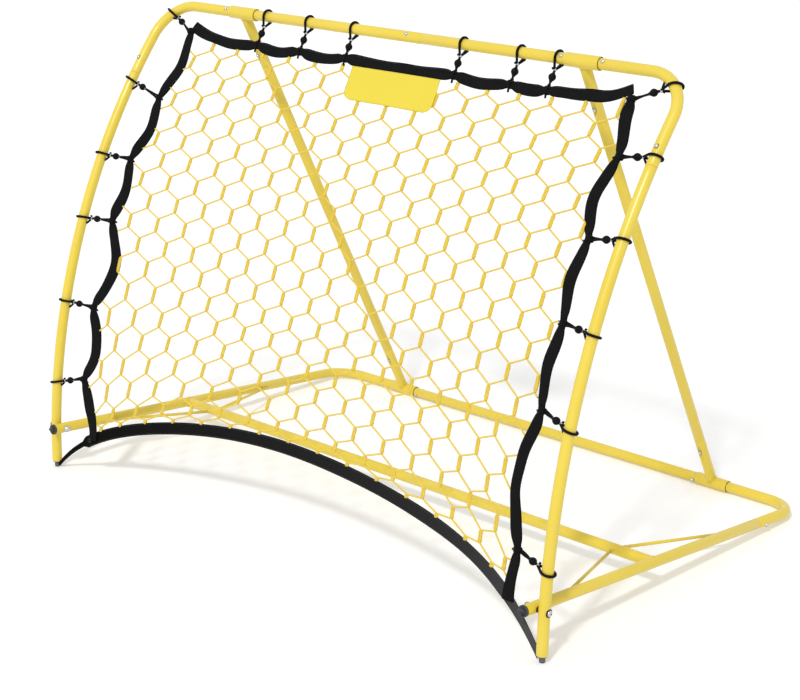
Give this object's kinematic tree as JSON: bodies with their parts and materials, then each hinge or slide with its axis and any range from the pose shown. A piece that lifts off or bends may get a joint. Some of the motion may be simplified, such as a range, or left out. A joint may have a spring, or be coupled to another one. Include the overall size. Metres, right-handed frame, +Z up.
{
  "type": "ball rebounder net",
  "caption": "Leaning yellow tube frame on a floor base with rear struts, holding a hexagonal net on elastic ties so that a thrown or kicked ball bounces back.",
  "frame": {"origin": "middle of the footprint on the floor", "axes": "+X along the top bar to the right as seen by the player, +Y from the player to the rear bar, +Z up"},
  "size_m": [1.2304, 0.8024, 0.8722],
  "materials": {
    "yellow_coat": "gloss powder coat",
    "net_twine": "knotless twine",
    "label_cloth": "plain woven cloth",
    "black_webbing": "woven webbing",
    "black_elastic": "braided elastic cord",
    "black_plastic": "moulded",
    "zinc_steel": "zinc plated"
  },
  "bodies": {
    "frame": {"bow_strap": "black_webbing", "label_patch": "label_cloth", "left_border": "black_webbing", "left_corner_tie": "black_elastic", "left_corner_tube": "yellow_coat", "left_foot_plug": "black_plastic", "left_front_gusset": "yellow_coat", "left_pivot_bolt": "zinc_steel", "left_pivot_nut": "zinc_steel", "left_post": "yellow_coat", "left_rail": "yellow_coat", "left_rail_cap": "black_plastic", "left_rear_corner": "yellow_coat", "left_rear_gusset": "yellow_coat", "left_rear_tee": "yellow_coat", "left_strut": "yellow_coat", "left_tie_1": "black_elastic", "left_tie_2": "black_elastic", "left_tie_3": "black_elastic", "left_tie_4": "black_elastic", "left_top_tee": "yellow_coat", "mid_bar_left": "yellow_coat", "mid_bar_right": "yellow_coat", "net": "net_twine", "rear_bar": "yellow_coat", "right_border": "black_webbing", "right_corner_tie": "black_elastic", "right_corner_tube": "yellow_coat", "right_foot_plug": "black_plastic", "right_front_gusset": "yellow_coat", "right_pivot_bolt": "zinc_steel", "right_pivot_nut": "zinc_steel", "right_post": "yellow_coat", "right_rail": "yellow_coat", "right_rail_cap": "black_plastic", "right_rear_corner": "yellow_coat", "right_rear_gusset": "yellow_coat", "right_rear_tee": "yellow_coat", "right_strut": "yellow_coat", "right_tie_1": "black_elastic", "right_tie_2": "black_elastic", "right_tie_3": "black_elastic", "right_tie_4": "black_elastic", "right_tie_5": "black_elastic", "right_top_tee": "yellow_coat", "top_bar_left": "yellow_coat", "top_bar_right": "yellow_coat", "top_border": "black_webbing", "top_tie_1": "black_elastic", "top_tie_2": "black_elastic", "top_tie_3": "black_elastic", "top_tie_4": "black_elastic", "top_tie_5": "black_elastic", "top_tie_6": "black_elastic"},
    "left_post_button": {"left_post_button": "zinc_steel"},
    "left_rear_button": {"left_rear_button": "zinc_steel"},
    "left_top_button": {"left_top_button": "zinc_steel"},
    "right_post_button": {"right_post_button": "zinc_steel"},
    "right_rear_button": {"right_rear_button": "zinc_steel"},
    "right_top_button": {"right_top_button": "zinc_steel"}
  },
  "joints": [
    {"name": "left_post_button_press", "type": "slide", "parent": "frame", "child": "left_post_button", "axis": [0, 0.802, -0.5973], "range_m": [0, 0.003], "stiffness_N_per_m": 600},
    {"name": "left_rear_button_press", "type": "slide", "parent": "frame", "child": "left_rear_button", "axis": [0, 0.8883, 0.4592], "range_m": [0, 0.003], "stiffness_N_per_m": 600},
    {"name": "left_top_button_press", "type": "slide", "parent": "frame", "child": "left_top_button", "axis": [0, 0.8883, 0.4592], "range_m": [0, 0.003], "stiffness_N_per_m": 600},
    {"name": "right_post_button_press", "type": "slide", "parent": "frame", "child": "right_post_button", "axis": [0, 0.802, -0.5973], "range_m": [0, 0.003], "stiffness_N_per_m": 600},
    {"name": "right_rear_button_press", "type": "slide", "parent": "frame", "child": "right_rear_button", "axis": [0, 0.8883, 0.4592], "range_m": [0, 0.003], "stiffness_N_per_m": 600},
    {"name": "right_top_button_press", "type": "slide", "parent": "frame", "child": "right_top_button", "axis": [0, 0.8883, 0.4592], "range_m": [0, 0.003], "stiffness_N_per_m": 600}
  ]
}
